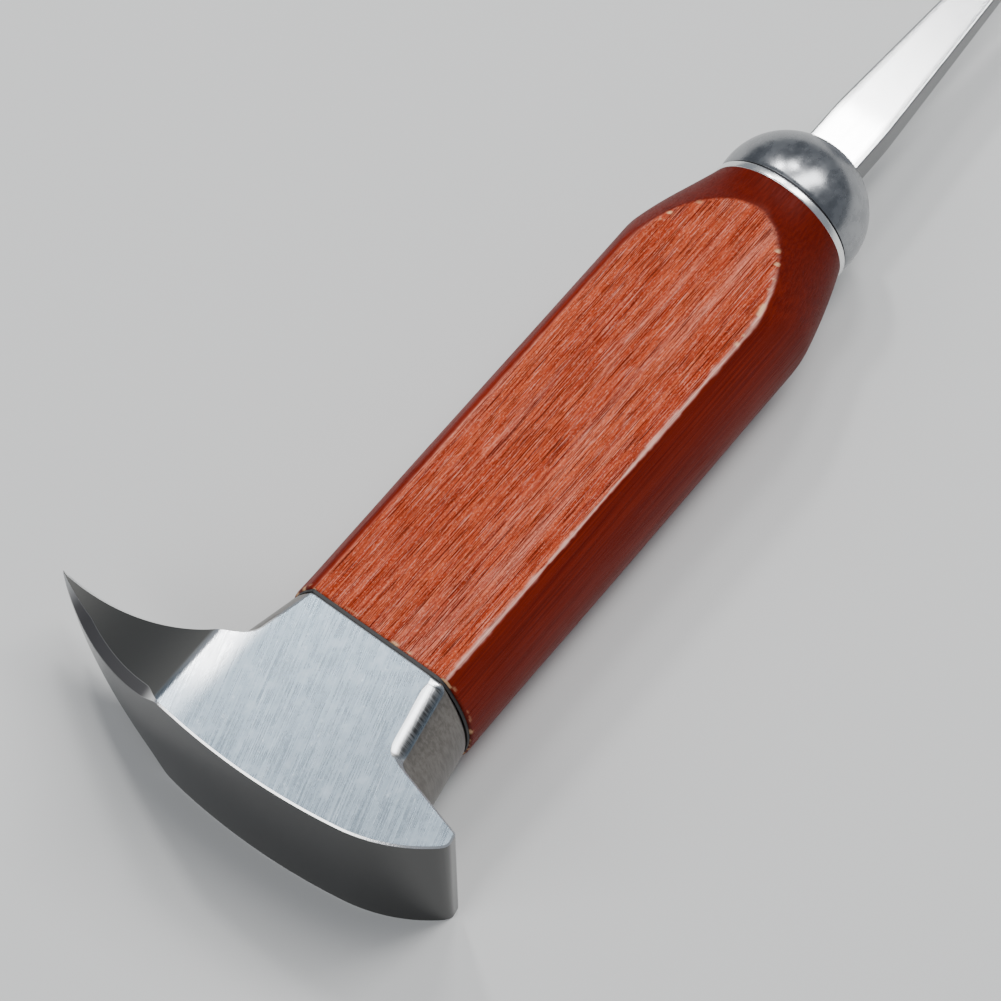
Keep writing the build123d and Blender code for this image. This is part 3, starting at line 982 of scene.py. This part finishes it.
def headMaterial(f):
    material, tree, shader = newMaterial("forgedHead", 1.0)
    masks = {key: attribute(tree, key)
             for key in ("edge", "ridge", "frontWall", "backWall", "bevel", "hollow")}
    acrossTool = coordinate(tree, 1)
    # brushed lines run a little askew of the tool
    lines = noise(tree, (14, 0.17, 0.17), 2, 0.6, 1.9, f["brushTurn"])
    scratch = noise(tree, (6, 0.11, 0.11), 1, 0.5, 5.4, f["brushTurn"])
    smudge = noise(tree, (2.6, 2.2, 2.2), 4, 0.65, 8.2)
    speck = noise(tree, (0.9, 0.9, 0.9), 2, 0.6, 3.6)
    upright = noise(tree, (0.45, 0.45, 12), 2, 0.6, 2.7)
    streak = noise(tree, (0.30, 6, 6), 2, 0.6, 6.1)
    # a painted highlight just before the crease, fading toward the front, and painted shade a little
    # darker toward the wing
    creaseHighlight = maths(tree, "MULTIPLY", ramp(tree, acrossTool, 0.0115, 0.0150, 0.0, 0.9),
                   ramp(tree, coordinate(tree, 0), -0.0675, -0.0600, 0.15, 1.0))
    # painted dark reflection in the hollow, darker toward the claw's tip
    darkHollowReflection = mixColour(tree, ramp(tree, acrossTool, 0.018, 0.043), *f["hollowReflectionColours"])
    wall = mixColour(tree, ramp(tree, upright, 0.3, 0.7), *f["backWallColours"])
    # the rounded ridge of the neck: a painted highlight where it leaves the flat, and below it painted
    # shade with grinding streaks
    below = mixColour(tree, ramp(tree, streak, 0.35, 0.65), *f["streakShadeColours"])
    rounded = mixColour(tree, ramp(tree, masks["ridge"], 0.35, 0.85), below, f["ridgeHighlightColour"])
    colour = mixColour(tree, ramp(tree, lines, 0.32, 0.68), *f["flatColours"])
    for factor, layer in (
        (ramp(tree, scratch, 0.60, 0.72, 0.0, 0.32), f["scratchColour"]),
        (ramp(tree, smudge, 0.52, 0.72, 0.0, 0.25), f["smudgeColour"]),
        (ramp(tree, speck, 0.66, 0.74, 0.0, 0.30), f["speckColour"]),
        # painted highlight by the crease
        (creaseHighlight, f["creaseHighlightColour"]),
        # painted shade toward the wing
        (ramp(tree, acrossTool, -0.022, 0.004, 0.38, 0.0), f["wingShadeColour"]),
        (masks["hollow"], darkHollowReflection),
        (masks["bevel"], f["bevelColour"]),
        # painted dark reflection on the front wall
        (masks["frontWall"], f["frontWallReflection"]),
        (masks["backWall"], wall),
        # the small chamfers painted near white, a painted highlight
        (mixValue(tree, masks["bevel"], masks["edge"], 0.0), f["edgeGlintColour"]),
        (ramp(tree, masks["ridge"], 0.02, 0.35), rounded),
    ):
        colour = mixColour(tree, factor, colour, layer)
    tree.links.new(colour, shader.inputs["Base Color"])
    brushedRough = ramp(tree, lines, 0.3, 0.7, -0.03, 0.03)
    rough = maths(tree, "ADD", ramp(tree, smudge, 0.3, 0.7, 0.26, 0.31), brushedRough)
    for key, value in f["roughness"].items():
        rough = mixValue(tree, masks[key], rough, value)
    tree.links.new(rough, shader.inputs["Roughness"])
    unbrushed = maths(tree, "ADD", masks["frontWall"], masks["hollow"])
    brushed = maths(tree, "SUBTRACT", 1.0, maths(tree, "MULTIPLY", unbrushed, 0.8))
    bump(tree, shader, maths(tree, "MULTIPLY", lines, brushed), f["reliefDepth"], 0.8)
    return material


head = makePiece("crescentHead", *makeHead(headFacts), crisp=24)
dress(head, headMaterial(headFacts), "head")
print("head made")


# pieces that keep their CAD shape

keptFacts = {
    # each node: material, colour, roughness, size and depth of its unevenness in millimetres
    "neck_spacer": ("blackFibre", (0.012, 0.011, 0.011), 0.6, 0.3, 0.02),
    "tang_resin": ("curedResin", (0.05, 0.04, 0.03), 0.35, 1.0, 0.02),
}


def plainMaterial(name, colour, roughness, size, depth):
    material, tree, shader = newMaterial(name, 0.0, roughness)
    link(tree, colour, shader.inputs["Base Color"])
    bump(tree, shader, noise(tree, (size, size, size), 3), depth, 0.6)
    return material


for node, finish in keptFacts.items():
    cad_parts[node].material_slots[0].material = plainMaterial(*finish)
print("spacer and resin finished")
